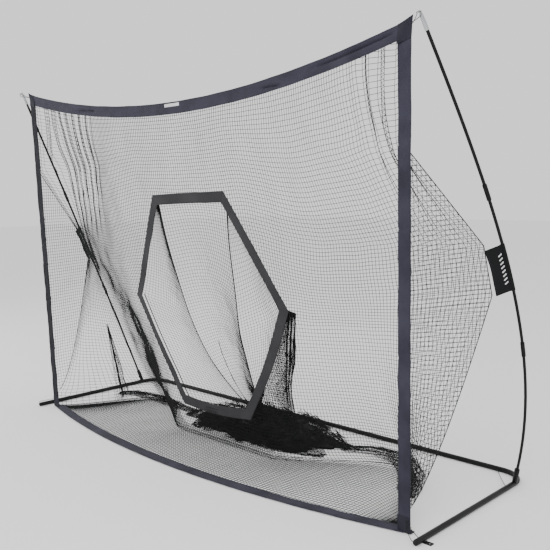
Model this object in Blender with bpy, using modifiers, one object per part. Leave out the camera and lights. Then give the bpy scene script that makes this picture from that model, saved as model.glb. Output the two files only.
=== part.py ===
# Golf chipping net: a plug-together steel base, two bow poles and a banded net with a hexagonal pocket.
# Metres, +Z up. The mouth faces -Y, +X is on the right of a player who faces the mouth, and the origin is on
# the floor under the middle of the bounding box.

import math

import bmesh
import bpy
from mathutils import Matrix, Vector

# ---------------------------------------------------------------- driving dimensions
HALF_WIDTH = 1.515          # leg axis from the middle, 3.05 m over the tubes
DEPTH = 0.910               # mouth plane to rail axis
TUBE_R = 0.0127             # 25.4 mm steel tube
TUBE_WALL = 0.0015
BEND_R = 0.120              # rounded back corners
GAP = 0.0003                # between pieces that touch

LEG_TIP = 0.060             # legs reach this far in front of the mouth
LEG_JOINT = 0.690           # leg plugs on here, measured back from the mouth
RAIL_JOINT = 0.500          # rail joints, from the middle
SPIGOT_R = 0.0109
SPIGOT_WALL = 0.0012
SPIGOT_HALF = 0.050

SOCKET_BACK = 0.783         # pole foot, back from the mouth
POLE_R = 0.0070             # 14 mm fibreglass
POLE_LENGTH = 2.291
POLE_STRAIGHT = 0.110       # stretch held straight by its socket
POLE_OUT = (0.2908, -0.1650)  # sideways slope at the socket and at the tip: the pole bows outwards
POLE_FORWARD = (0.2328, 0.5245)  # forward slope at the socket and at the tip
POLE_FOOT = 0.020           # where the rod starts, measured along its line
POLE_JOINTS = (0.760, 1.520)
FERRULE_R = 0.0096
TIP_START = 2.231
SOCKET_R = 0.0125
SOCKET_BORE = 0.0099
SOCKET_TOP = 0.082

CORNER_X = 1.474            # outer upper corner of the mouth
CORNER_Z = 2.085
LOWER_CORNER_X = 1.445
TOP_LEAN = 0.060            # the mouth leans forward this much at the top
BAND_WIDTH = 0.062
BAND_THICK = 0.005
PATCH_HEIGHT = 0.074
PATCH_FOLD = 0.066
PATCH_FLAT = 0.034
TOP_SAG = 0.180
FLOOR_BULGE = 0.190
NET_THICK = 0.006
NET_BEHIND = 0.0085         # netting runs this far behind the bands
NET_SIDE_GAP = 0.022        # and stops this far inside the mouth's outer edge
NET_FLOOR_Z = 0.009

SIDE_FLARE = 0.150          # the netting reaches this much wider at the tabs
TAB_BACK = 0.415            # and stands this far behind the mouth at their lower ends
TAB_UPPER = 0.81            # share of that at their upper ends
SIDE_TOP = 1.610            # where the side of the netting leaves the band
SIDE_FOOT = 0.100           # and where it comes back to it

HEX_HALF_WIDTH = 0.620
HEX_TOP_HALF = 0.310
HEX_MIDDLE_Z = 0.830
HEX_HALF_HEIGHT = 0.610
HEX_BAND = 0.050

POCKET_DEPTH = 0.320
POCKET_END_Z = 0.270
HEAP_HEIGHT = 0.072

TAB_Z = 1.090
TAB_HEIGHT = 0.220
TAB_START = 1.060           # along the pole, so that the tab's middle is at TAB_Z
TAB_WIDTH = 0.080

BUTTON_X = 0.472
BUTTON_R = 0.0032

# The bounding box runs from the floor band's bulge to the rail, and the origin halves it.
FRONT_Y = (FLOOR_BULGE - DEPTH - TUBE_R) / 2
RAIL_Y = FRONT_Y + DEPTH
TUBE_Z = TUBE_R
TUBE_SIDES_RES = 6


# ---------------------------------------------------------------- scene and materials
for old in list(bpy.data.objects):
    bpy.data.objects.remove(old, do_unlink=True)


def new_collection(name):
    collection = bpy.data.collections.new(name)
    bpy.context.scene.collection.children.link(collection)
    return collection


PARTS = new_collection("golf_chipping_net")
CUTTERS = new_collection("cutters")


def make_material(name, colour, roughness, metallic=0.0):
    material = bpy.data.materials.new(name)
    material.use_nodes = True
    shader = material.node_tree.nodes["Principled BSDF"]
    shader.inputs["Base Color"].default_value = (*colour, 1.0)
    shader.inputs["Roughness"].default_value = roughness
    shader.inputs["Metallic"].default_value = metallic
    return material


STEEL = make_material("black_powder_coat", (0.012, 0.012, 0.013), 0.45)
PLATED = make_material("plated_steel", (0.55, 0.55, 0.56), 0.30, 1.0)
PLASTIC = make_material("black_plastic", (0.015, 0.015, 0.016), 0.50)
FIBRE = make_material("black_fibreglass", (0.010, 0.010, 0.011), 0.35)
GREY = make_material("grey_metal", (0.48, 0.49, 0.50), 0.38, 0.8)
FABRIC = make_material("charcoal_fabric", (0.045, 0.045, 0.062), 0.85)
HEX_FABRIC = make_material("hexagon_fabric", (0.060, 0.060, 0.066), 0.85)
NETTING = make_material("black_netting", (0.018, 0.018, 0.020), 0.80)
CORD = make_material("black_elastic", (0.020, 0.020, 0.022), 0.75)


# ---------------------------------------------------------------- modelling helpers
def add_object(name, mesh, material, collection=PARTS):
    obj = bpy.data.objects.new(name, mesh)
    collection.objects.link(obj)
    if material:
        obj.data.materials.append(material)
    return obj


def mesh_from_bmesh(name, bm):
    mesh = bpy.data.meshes.new(name)
    bm.to_mesh(mesh)
    bm.free()
    return mesh


def smooth(obj, angle=35.0):
    obj.data.shade_smooth()
    obj.data.set_sharp_from_angle(angle=math.radians(angle))
    return obj


def frame_on(origin, axis):
    """Matrix that stands local +Z along axis at origin."""
    turn = Vector(axis).to_track_quat("Z", "Y").to_matrix().to_4x4()
    return Matrix.Translation(Vector(origin)) @ turn


def turned(name, profile, origin, axis, material, steps=24, closed=True):
    """Screw a profile of (radius, height) pairs, given down its outer side."""
    bm = bmesh.new()
    verts = [bm.verts.new((r, 0.0, h)) for r, h in profile]
    for first, second in zip(verts, verts[1:]):
        bm.edges.new((first, second))
    if closed:
        bm.edges.new((verts[-1], verts[0]))
    obj = add_object(name, mesh_from_bmesh(name, bm), material)
    screw = obj.modifiers.new("turn", "SCREW")
    screw.axis = "Z"
    screw.steps = steps
    screw.render_steps = steps
    screw.use_merge_vertices = True
    screw.merge_threshold = 0.00001
    screw.use_smooth_shade = True
    obj.matrix_world = frame_on(origin, axis)
    return obj


def pipe_profile(outer, inner, low, high):
    return [(outer, high), (outer, low), (inner, low), (inner, high)]


def wire(name, points, radius, material, resolution=2, cyclic=False, collection=PARTS):
    """A round bar or tube along a poly line, with filled caps."""
    curve = bpy.data.curves.new(name, "CURVE")
    curve.dimensions = "3D"
    curve.bevel_depth = radius
    curve.bevel_resolution = resolution
    curve.use_fill_caps = not cyclic
    spline = curve.splines.new("POLY")
    spline.points.add(len(points) - 1)
    for point, place in zip(spline.points, points):
        point.co = (*place, 1.0)
    spline.use_cyclic_u = cyclic
    spline.use_smooth = True
    obj = bpy.data.objects.new(name, curve)
    collection.objects.link(obj)
    if material:
        curve.materials.append(material)
    return obj


def curve_to_mesh(obj, collection=PARTS):
    """Replace a curve object by its welded mesh, so that it can be cut or cut with."""
    bpy.context.view_layer.update()
    evaluated = obj.evaluated_get(bpy.context.evaluated_depsgraph_get())
    mesh = bpy.data.meshes.new_from_object(evaluated)
    bm = bmesh.new()
    bm.from_mesh(mesh)
    bmesh.ops.remove_doubles(bm, verts=bm.verts, dist=0.00001)
    bmesh.ops.recalc_face_normals(bm, faces=bm.faces)
    bm.to_mesh(mesh)
    bm.free()
    name = obj.name
    place = obj.matrix_world.copy()
    bpy.data.objects.remove(obj, do_unlink=True)
    solid = bpy.data.objects.new(name, mesh)
    collection.objects.link(solid)
    solid.matrix_world = place
    return smooth(solid)


def rod_cutter(name, start, end, radius, vertices=24):
    """A closed cylinder from start to end for cutting."""
    start, end = Vector(start), Vector(end)
    bm = bmesh.new()
    bmesh.ops.create_cone(bm, cap_ends=True, segments=vertices, radius1=radius, radius2=radius,
                          depth=(end - start).length)
    cutter = add_object(name, mesh_from_bmesh(name, bm), None, CUTTERS)
    cutter.matrix_world = frame_on((start + end) / 2, end - start)
    return as_cutter(cutter)


def as_cutter(obj):
    obj.hide_render = True
    obj.display_type = "WIRE"
    return obj


def boolean(obj, tool, operation="DIFFERENCE"):
    modifier = obj.modifiers.new(operation.lower(), "BOOLEAN")
    modifier.operation = operation
    modifier.solver = "EXACT"
    modifier.object = tool
    return obj


def sheet(name, across, along, place, thickness, material, welded=False):
    """A grid whose points place(u, v) sets, u and v from 0 to 1, thickened both ways."""
    bm = bmesh.new()
    bmesh.ops.create_grid(bm, x_segments=across, y_segments=along, size=0.5)
    for vert in bm.verts:
        vert.co = Vector(place(vert.co.x + 0.5, vert.co.y + 0.5))
    if welded:
        bmesh.ops.remove_doubles(bm, verts=bm.verts, dist=0.0001)
        bmesh.ops.recalc_face_normals(bm, faces=bm.faces)
    obj = add_object(name, mesh_from_bmesh(name, bm), material)
    solid = obj.modifiers.new("thickness", "SOLIDIFY")
    solid.thickness = thickness
    solid.offset = 0.0
    return smooth(obj, 50.0)


def plate(name, width, height, thickness, centre, material, bevel=0.0):
    """A box of the given size, its edges rounded."""
    bm = bmesh.new()
    bmesh.ops.create_cube(bm, size=1.0)
    bmesh.ops.scale(bm, vec=(width, height, thickness), verts=bm.verts)
    bmesh.ops.translate(bm, vec=centre, verts=bm.verts)
    obj = add_object(name, mesh_from_bmesh(name, bm), material)
    if bevel:
        edge = obj.modifiers.new("edge", "BEVEL")
        edge.width = bevel
        edge.segments = 2
    return obj


# ---------------------------------------------------------------- lines that the pieces follow
def pole_direction(side, s):
    """The pole's direction at length s: straight in its socket, then bent by the pulls at its tip and tab."""
    u = min(max((s - POLE_STRAIGHT) / (POLE_LENGTH - POLE_STRAIGHT), 0.0), 1.0)
    share = 2 * u - u * u
    out = POLE_OUT[0] + (POLE_OUT[1] - POLE_OUT[0]) * share
    forward = POLE_FORWARD[0] + (POLE_FORWARD[1] - POLE_FORWARD[0]) * share
    return Vector((side * out, -forward, 1.0)).normalized()


def pole_point(side, s):
    """The pole's axis at length s from its foot, summed along its direction."""
    steps = 240
    run = sum((pole_direction(side, s * (i + 0.5) / steps) for i in range(steps)), Vector((0, 0, 0)))
    return Vector((side * HALF_WIDTH, FRONT_Y + SOCKET_BACK, TUBE_Z)) + run * (s / steps)


def pole_line(side, start, end, step=0.06):
    """Points of the bow pole from length start to length end."""
    count = max(1, round((end - start) / step))
    return [pole_point(side, start + (end - start) * i / count) for i in range(count + 1)]


def mouth_y(z):
    """The mouth plane leans forward towards the top."""
    return FRONT_Y - TOP_LEAN * z / CORNER_Z


def side_x(z):
    """Outer edge of the side bands, which spread a little towards the top."""
    return LOWER_CORNER_X + (CORNER_X - LOWER_CORNER_X) * z / CORNER_Z


def top_edge_z(x):
    return CORNER_Z - TOP_SAG * (1 - (x / CORNER_X) ** 2)


def floor_edge_y(x):
    """Outer edge of the floor band, bulging forward between the lower corners."""
    return FRONT_Y - FLOOR_BULGE * (1 - (x / LOWER_CORNER_X) ** 2)


def ease(value):
    value = min(max(value, 0.0), 1.0)
    return value * value * (3 - 2 * value)


def side_share(z):
    """How far out and back the side of the netting stands at this height: 0 on the band, about 1 at the tab."""
    low, high = TAB_Z - TAB_HEIGHT / 2, TAB_Z + TAB_HEIGHT / 2
    if z > high:
        return max(0.0, (SIDE_TOP - z) / (SIDE_TOP - high))
    return min(1.0, (max(0.0, z - SIDE_FOOT) / (low - SIDE_FOOT)) ** 0.9)


def net_half(z):
    """Half-width of the rear netting, which flares out to the tabs."""
    return side_x(z) - NET_SIDE_GAP + SIDE_FLARE * side_share(z)


def floor_line(x):
    """Where the netting meets the floor behind the mouth."""
    rise = ease((abs(x) - 0.35) / 0.60)
    fall = ease((abs(x) - 1.02) / 0.42)
    return (0.240 + 0.380 * rise) * (1 - fall) + 0.012 * fall


def net_y(x, z):
    """The catch net: pulled back to the tabs, hung from the top band and lying back on the floor."""
    across = abs(x) / net_half(z)
    side = ease((across - 0.42) / 0.52)
    pull = 0.110 + (TAB_BACK - 0.110) * max(0.0, (across - 0.42) / 0.58) ** 1.5
    low, high = TAB_Z - TAB_HEIGHT / 2, TAB_Z + TAB_HEIGHT / 2
    start = top_edge_z(x) * (1 - side) + SIDE_TOP * side
    if z > high:
        back = pull * TAB_UPPER * min(max((start - z) / (start - high), 0.0), 1.0)
    elif z > low:
        back = pull * (1 + (TAB_UPPER - 1) * (z - low) / (high - low))
    else:
        foot = floor_line(x)
        lift = SIDE_FOOT * side
        back = foot + (pull - foot) * max(0.0, (z - lift) / (low - lift)) ** 0.9
    return mouth_y(z) + NET_BEHIND + back


def hexagon(scale=1.0):
    """Corners of the pocket's hexagon from the top right, clockwise seen from the mouth, as (x, z)."""
    corners = [(HEX_TOP_HALF, 1), (HEX_HALF_WIDTH, 0), (HEX_TOP_HALF, -1),
               (-HEX_TOP_HALF, -1), (-HEX_HALF_WIDTH, 0), (-HEX_TOP_HALF, 1)]
    return [(x * scale, HEX_MIDDLE_Z + level * HEX_HALF_HEIGHT * scale) for x, level in corners]


def on_loop(corners, t):
    """The point at the fraction t round a closed loop, each side taking an equal share of t."""
    count = len(corners)
    place = (t % 1.0) * count
    index = min(int(place), count - 1)
    share = place - index
    (x1, z1), (x2, z2) = corners[index], corners[(index + 1) % count]
    return x1 + (x2 - x1) * share, z1 + (z2 - z1) * share


# ---------------------------------------------------------------- steel base
def tip_place(side, inward, forward, along):
    """A point near the tip's neck: towards the middle, square to the pole at its front, and along it."""
    axis = pole_direction(side, POLE_LENGTH)
    square = Vector((0.0, -axis.z, axis.y)).normalized()
    across = square.cross(axis) * side
    neck = pole_point(side, POLE_LENGTH - 0.008)
    return neck + across * inward + square * forward + axis * along


def corner_path(side, overrun=0.0):
    """Axis of a bent corner tube from its leg joint round to its rail joint."""
    x, y = side * HALF_WIDTH, RAIL_Y
    points = [Vector((x, FRONT_Y + LEG_JOINT + GAP - overrun, TUBE_Z))]
    for i in range(9):
        turn = math.radians(90 * i / 8)
        points.append(Vector((x - side * BEND_R * (1 - math.cos(turn)),
                              y - BEND_R * (1 - math.sin(turn)), TUBE_Z)))
    points.append(Vector((side * (RAIL_JOINT + GAP - overrun), y, TUBE_Z)))
    return points


def make_corner_tube(side, hand):
    outer = curve_to_mesh(wire(f"{hand}_corner_tube", corner_path(side), TUBE_R, None, TUBE_SIDES_RES))
    outer.data.materials.clear()
    outer.data.materials.append(STEEL)
    bore = curve_to_mesh(wire(f"{hand}_corner_bore", corner_path(side, 0.02), TUBE_R - TUBE_WALL, None,
                              TUBE_SIDES_RES, collection=CUTTERS), CUTTERS)
    boolean(outer, as_cutter(bore))


def make_straight_tube(name, start, end, material=STEEL):
    start, end = Vector(start), Vector(end)
    return turned(name, pipe_profile(TUBE_R, TUBE_R - TUBE_WALL, 0.0, (end - start).length), start,
                  end - start, material)


def make_spigot(name, centre, axis, button_side=0):
    """Inner sleeve that joins two tubes; the rail's ones have a hole for a snap button."""
    spigot = turned(name, pipe_profile(SPIGOT_R, SPIGOT_R - SPIGOT_WALL, -SPIGOT_HALF, SPIGOT_HALF),
                    centre, axis, PLATED)
    if button_side:
        place = Vector((button_side * BUTTON_X, RAIL_Y, TUBE_Z))
        boolean(spigot, rod_cutter(f"{name}_hole", place, place + Vector((0, 0, 0.03)), BUTTON_R + GAP))
    return spigot


def make_snap_button(side, hand):
    """A domed button that stands out of the rail, on a leaf spring bent into a V."""
    foot = Vector((side * BUTTON_X, RAIL_Y, TUBE_Z))
    profile = [(0.0, 0.0152), (0.0016, 0.0149), (0.0028, 0.0140), (BUTTON_R, 0.0126), (BUTTON_R, 0.0080),
               (0.0046, 0.0080), (0.0046, 0.0062), (0.0, 0.0062)]
    turned(f"{hand}_snap_button", profile, foot, (0, 0, 1), PLATED, 16, closed=False)
    bend = [(0.004, 0.0055), (-0.012, 0.0032), (-0.022, 0.0005), (-0.0255, -0.0022), (-0.022, -0.0052),
            (-0.012, -0.0074), (0.004, -0.0086)]

    def place(u, v):
        index = min(round(u * (len(bend) - 1)), len(bend) - 1)
        x, z = bend[index]
        return foot + Vector((side * x, (v - 0.5) * 0.006, z))

    sheet(f"{hand}_button_spring", len(bend) - 1, 1, place, 0.0006, PLATED)


def make_leg(side, hand):
    x = side * HALF_WIDTH
    front = FRONT_Y - LEG_TIP
    make_straight_tube(f"{hand}_leg_tube", (x, front, TUBE_Z), (x, FRONT_Y + LEG_JOINT, TUBE_Z))
    make_spigot(f"{hand}_leg_spigot", (x, FRONT_Y + LEG_JOINT, TUBE_Z), (0, 1, 0))
    # domed end cap with a cross hole for the net's lower loop
    profile = [(0.0, 0.0160), (0.0050, 0.0152), (0.0092, 0.0128), (0.0118, 0.0090), (TUBE_R, 0.0040),
               (TUBE_R, GAP), (0.0108, GAP), (0.0108, -0.020), (0.0, -0.020)]
    cap = turned(f"{hand}_leg_cap", profile, (x, front, TUBE_Z), (0, -1, 0), PLASTIC, 20, closed=False)
    hole = Vector((x, front - 0.0085, TUBE_Z + 0.004))
    boolean(cap, rod_cutter(f"{hand}_cap_hole", hole - Vector((0.03, 0, 0)), hole + Vector((0.03, 0, 0)),
                            0.0026, 12))
    # ground stake plate on the outer side, flat on the floor
    inner, outer = HALF_WIDTH + TUBE_R - 0.004, HALF_WIDTH + TUBE_R + 0.036
    centre_y = FRONT_Y - 0.016
    tab = plate(f"{hand}_stake_plate", outer - inner, 0.026, 0.003,
                (side * (inner + outer) / 2, centre_y, 0.0015), STEEL, 0.0008)
    boolean(tab, rod_cutter(f"{hand}_plate_clear", (x, front - 0.05, TUBE_Z), (x, front + 0.2, TUBE_Z),
                            TUBE_R + GAP, 48))
    stake = Vector((side * (outer - 0.013), centre_y, -0.01))
    boolean(tab, rod_cutter(f"{hand}_stake_hole", stake, stake + Vector((0, 0, 0.03)), 0.005, 20))


def make_pole_socket(side, hand):
    """Socket tube welded to the corner tube, leaning back, with a plastic bush for the pole."""
    foot = Vector((side * HALF_WIDTH, FRONT_Y + SOCKET_BACK, TUBE_Z))
    axis = pole_direction(side, 0.0)
    socket = turned(f"{hand}_pole_socket", pipe_profile(SOCKET_R, SOCKET_BORE, 0.004, SOCKET_TOP), foot, axis,
                    STEEL)
    clear = wire(f"{hand}_socket_clear", corner_path(side, 0.02), TUBE_R + GAP, None, TUBE_SIDES_RES,
                 collection=CUTTERS)
    boolean(socket, as_cutter(curve_to_mesh(clear, CUTTERS)))
    sleeve = SOCKET_BORE - GAP
    bush = [(SOCKET_R - 0.0006, SOCKET_TOP + 0.005), (SOCKET_R + 0.0002, SOCKET_TOP + 0.003),
            (SOCKET_R + 0.0002, SOCKET_TOP + GAP), (sleeve, SOCKET_TOP + GAP), (sleeve, POLE_FOOT + 0.002),
            (POLE_R + GAP, POLE_FOOT + 0.002), (POLE_R + GAP, SOCKET_TOP + 0.005)]
    turned(f"{hand}_socket_bush", bush, foot, axis, PLASTIC)


def make_corner_cord(side, hand):
    """Elastic cord across the back corner that draws the leg on to its spigot."""
    rail_end = Vector((side * (HALF_WIDTH - 0.150), RAIL_Y - TUBE_R - 0.002, TUBE_Z + 0.004))
    leg_end = Vector((side * (HALF_WIDTH - TUBE_R - 0.002), FRONT_Y + LEG_JOINT + 0.030, TUBE_Z + 0.004))
    points = []
    for i in range(9):
        t = i / 8
        sag = Vector((0, 0, -0.006 * math.sin(math.pi * t)))
        points.append(rail_end.lerp(leg_end, t) + sag)
    wire(f"{hand}_corner_cord", points, 0.0015, CORD)


# ---------------------------------------------------------------- bow poles
def make_pole(side, hand):
    cuts = [POLE_FOOT, *POLE_JOINTS, TIP_START]
    for label, start, end in zip(("lower", "middle", "upper"), cuts, cuts[1:]):
        wire(f"{hand}_{label}_pole", pole_line(side, start + GAP / 2, end - GAP / 2), POLE_R, FIBRE, 3)
    for label, joint in zip(("lower", "upper"), POLE_JOINTS):
        middle = pole_point(side, joint)
        profile = pipe_profile(FERRULE_R, POLE_R + 0.0010, -0.035, 0.035)
        turned(f"{hand}_{label}_ferrule", profile, middle, pole_direction(side, joint), FIBRE)
    top = pole_point(side, TIP_START)
    axis = pole_direction(side, TIP_START)
    cap_r = POLE_R + 0.0013
    length = POLE_LENGTH - TIP_START
    profile = [(0.0, length), (0.0032, length - 0.0008), (0.0044, length - 0.004), (0.0044, length - 0.012),
               (cap_r - 0.0010, length - 0.017), (cap_r, 0.0), (cap_r, -0.020), (POLE_R + 0.0005, -0.020),
               (POLE_R + 0.0005, GAP), (0.0, GAP)]
    turned(f"{hand}_pole_tip", profile, top, axis, GREY, 16, closed=False)
    # wire hook clipped round the tip's neck, its longer arm turned up to hold the net's loop
    ring = [(0.0064 * math.sin(a), 0.0064 * math.cos(a), 0.0)
            for a in (math.radians(40 + 30 * i) for i in range(10))]
    first, last = ring[0], ring[-1]
    hook = [(first[0], first[1] + 0.010, 0.0), (first[0], first[1] + 0.004, 0.0), *ring,
            (last[0], last[1] + 0.005, 0.0), (last[0], last[1] + 0.013, 0.003),
            (last[0], last[1] + 0.016, 0.009)]
    wire(f"{hand}_tip_hook", [tip_place(side, *point) for point in hook], 0.0014, PLATED, 2)


def make_side_tab(side, hand):
    """Fabric sleeve on the pole with a flap that draws the netting back."""
    start = TAB_START
    line = pole_line(side, start, start + TAB_HEIGHT, TAB_HEIGHT / 6)
    wrap_r = POLE_R + 0.0016
    rows = []
    for i, centre in enumerate(line):
        tangent = pole_direction(side, start + TAB_HEIGHT * i / (len(line) - 1))
        out = Vector((-side * 0.6, -0.8, 0.0))
        out = (out - tangent * out.dot(tangent)).normalized()
        rows.append((centre, out, tangent.cross(out)))
    # cross-section: out along one layer, round the pole and back along the other layer
    section = [(TAB_WIDTH, 0.0012), (0.014, 0.0012)]
    section += [(wrap_r * math.cos(a), wrap_r * math.sin(a))
                for a in (math.radians(45 + 270 * i / 8) for i in range(9))]
    section += [(0.014, -0.0012), (TAB_WIDTH, -0.0012)]

    def place(u, v):
        centre, out, across = rows[round(v * (len(rows) - 1))]
        reach, rise = section[round(u * (len(section) - 1))]
        return centre + out * reach + across * rise

    sheet(f"{hand}_side_tab", len(section) - 1, len(rows) - 1, place, 0.0012, FABRIC)


# ---------------------------------------------------------------- bands of the mouth
def make_bands():
    end = BAND_WIDTH + 0.002

    def top(u, v):
        x = (2 * u - 1) * (CORNER_X - end)
        return x, mouth_y(CORNER_Z), top_edge_z(x) - BAND_WIDTH * (1 - v)

    def bottom(u, v):
        x = (2 * u - 1) * (LOWER_CORNER_X - end)
        return x, floor_edge_y(x) + BAND_WIDTH * v, BAND_THICK / 2

    sheet("top_band", 20, 1, top, BAND_THICK, FABRIC)
    sheet("bottom_band", 20, 1, bottom, BAND_THICK, FABRIC)
    low, high = PATCH_FOLD + 0.001, CORNER_Z - PATCH_HEIGHT - 0.001
    for side, hand in ((-1, "left"), (1, "right")):

        def upright(u, v, side=side):
            z = low + (high - low) * v
            return side * (side_x(z) - BAND_WIDTH * u), mouth_y(z), z

        sheet(f"{hand}_band", 1, 12, upright, BAND_THICK, FABRIC)


def make_corner_patches():
    """Doubled fabric where the bands meet; the lower ones fold from the floor up into the side band."""
    for side, hand in ((-1, "left"), (1, "right")):

        def upper(u, v, side=side):
            return side * (CORNER_X - BAND_WIDTH * u), mouth_y(CORNER_Z), CORNER_Z - PATCH_HEIGHT * (1 - v)

        def lower(u, v, side=side):
            run = (PATCH_FLAT + PATCH_FOLD) * v
            z = BAND_THICK / 2 + max(0.0, run - PATCH_FLAT)
            back = max(0.0, PATCH_FLAT - run)
            return side * (LOWER_CORNER_X - BAND_WIDTH * u), mouth_y(z) + back, min(z, PATCH_FOLD)

        sheet(f"{hand}_upper_corner", 2, 2, upper, BAND_THICK, FABRIC)
        sheet(f"{hand}_lower_corner", 2, 8, lower, BAND_THICK, FABRIC)


def make_corner_loops():
    """Elastic loops: from each upper corner over the tip hook, from each lower corner through the leg cap."""
    for side, hand in ((-1, "left"), (1, "right")):
        corner = Vector((side * (CORNER_X + 0.003), mouth_y(CORNER_Z), CORNER_Z - 0.020))
        over_hook = [(0.0101, 0.0115, -0.004), (0.0085, 0.0105, 0.0034), (0.0, 0.0102, 0.0056),
                     (-0.0085, 0.0105, 0.0034), (-0.0101, 0.0125, -0.004), (-0.004, 0.0165, -0.013)]
        points = [corner + Vector((0, 0.005, 0)), *(tip_place(side, *point) for point in over_hook),
                  corner + Vector((0, -0.005, 0))]
        wire(f"{hand}_upper_loop", smooth_route(points, 20), 0.0013, CORD)
        hole = Vector((side * HALF_WIDTH, FRONT_Y - LEG_TIP - 0.0085, TUBE_Z + 0.004))
        start = Vector((side * (LOWER_CORNER_X - 0.009), FRONT_Y - BAND_THICK / 2 - 0.0030, 0.045))
        points = [start, start + Vector((side * 0.006, -0.020, -0.010)), hole - Vector((side * 0.022, -0.003, 0)),
                  hole - Vector((side * 0.010, 0, 0)), hole + Vector((side * 0.014, 0, 0)),
                  hole + Vector((side * 0.020, 0.004, 0.006)), hole + Vector((side * 0.014, 0.010, 0.013)),
                  hole + Vector((-side * 0.012, 0.020, 0.020)), start + Vector((side * 0.002, -0.014, 0.010)),
                  start + Vector((0, 0, 0.012))]
        wire(f"{hand}_lower_loop", smooth_route(points, 22), 0.0015, CORD)


def smooth_route(points, count):
    """Points read from a smooth curve through the route's own points."""
    result = []
    last = len(points) - 1
    for i in range(count):
        place = last * i / (count - 1)
        k = min(int(place), last - 1)
        t = place - k
        p0, p1, p2, p3 = (Vector(points[min(max(j, 0), last)]) for j in (k - 1, k, k + 1, k + 2))
        result.append(0.5 * (2 * p1 + (p2 - p0) * t + (2 * p0 - 5 * p1 + 4 * p2 - p3) * t * t
                             + (3 * p1 - p0 - 3 * p2 + p3) * t ** 3))
    return result


# ---------------------------------------------------------------- netting
def make_catch_net():
    """Rear netting with a hexagonal hole, as rings from the hexagon out to the net's edge."""
    hole = hexagon(1.004)
    corners = [(1 / 12, 1, 1), (3 / 12, 1, 0), (7 / 12, -1, 0), (9 / 12, -1, 1), (13 / 12, 1, 1)]

    def outline(t):
        """The net's edge at the fraction t, its corners opposite the hexagon's slanted sides."""
        t = t + 1 if t < corners[0][0] - 1e-6 else t
        for (t1, x1, h1), (t2, x2, h2) in zip(corners, corners[1:]):
            if t <= t2 + 1e-6:
                share = (t - t1) / (t2 - t1)
                across, height = x1 + (x2 - x1) * share, h1 + (h2 - h1) * share
                break
        high = top_edge_z(across * CORNER_X) - 0.030
        z = NET_FLOOR_Z + (high - NET_FLOOR_Z) * height
        return across * net_half(z), z

    def place(u, v):
        (x1, z1), (x2, z2) = on_loop(hole, u), outline(u)
        x, z = x1 + (x2 - x1) * v, z1 + (z2 - z1) * v
        return x, net_y(x, z), z

    sheet("catch_net", 48, 8, place, NET_THICK, NETTING, welded=True)


def make_floor_net():
    """Netting that lies on the floor from the bottom band back to the catch net."""
    edge_x = LOWER_CORNER_X - BAND_WIDTH - 0.002

    def place(u, v):
        x = (2 * u - 1) * edge_x
        front = floor_edge_y(x) + BAND_WIDTH + 0.0008
        back = max(front + 0.012, net_y(x, NET_FLOOR_Z) - 0.010)
        return x, front + (back - front) * v, NET_THICK / 2

    sheet("floor_net", 24, 3, place, NET_THICK, NETTING)


def make_gussets():
    """Side netting between each side band and its tab."""
    low, high = 0.125, 1.560
    for side, hand in ((-1, "left"), (1, "right")):

        def place(u, v, side=side):
            z = low + (high - low) * v
            front = mouth_y(z) + BAND_THICK / 2 + 0.002
            back = max(front + 0.004, net_y(net_half(z), z) - 0.030)
            return side * (side_x(z) - 0.010 + SIDE_FLARE * side_share(z) * u), front + (back - front) * u, z

        sheet(f"{hand}_gusset", 3, 18, place, NET_THICK * 0.5, NETTING)


# ---------------------------------------------------------------- hexagon, pocket and heap
def make_hexagon_band():
    """Fabric band sewn round the pocket's mouth, just in front of the netting."""
    outer = hexagon(1.0)
    inner = hexagon(1.0 - HEX_BAND / (HEX_HALF_HEIGHT * 1.0))

    def place(u, v):
        (x1, z1), (x2, z2) = on_loop(outer, u), on_loop(inner, u)
        x, z = x1 + (x2 - x1) * v, z1 + (z2 - z1) * v
        return x, net_y(x, z) - NET_THICK / 2 - BAND_THICK / 2 - 0.0012, z

    sheet("hexagon_band", 36, 1, place, BAND_THICK, HEX_FABRIC, welded=True)


def pocket_point(u, v):
    """The slack bag behind the hexagon, drooping back and down to its closed end."""
    x1, z1 = on_loop(hexagon(0.93), u)
    girth = math.sqrt(1 - v ** 2.6)
    middle = HEX_MIDDLE_Z - (HEX_MIDDLE_Z - POCKET_END_Z) * v ** 0.8
    x = x1 * girth
    z = max(middle + (z1 - HEX_MIDDLE_Z) * girth * (1 - 0.35 * v), 0.030 + 0.085 * v)
    return x, net_y(x, z) + 0.0105 + POCKET_DEPTH * v, z


def make_pocket_net():
    sheet("pocket_net", 24, 7, pocket_point, NET_THICK * 0.6, NETTING, welded=True)


def make_pocket_heap():
    """Spare netting lying in a low heap on the floor behind the pocket."""
    bm = bmesh.new()
    bmesh.ops.create_icosphere(bm, subdivisions=3, radius=1.0)
    centre = Vector((-0.080, FRONT_Y + 0.600, 0.0))
    for vert in bm.verts:
        x, y, z = vert.co
        lumps = 1 + 0.10 * math.sin(5 * x + 2 * y) + 0.08 * math.sin(7 * y - 3 * x)
        height = 0.0004 if z < 0.02 else HEAP_HEIGHT * z ** 0.7 * lumps
        vert.co = centre + Vector((0.520 * x * lumps, 0.245 * y * lumps, height))
    obj = add_object("pocket_heap", mesh_from_bmesh("pocket_heap", bm), NETTING)
    smooth(obj, 60.0)


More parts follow.
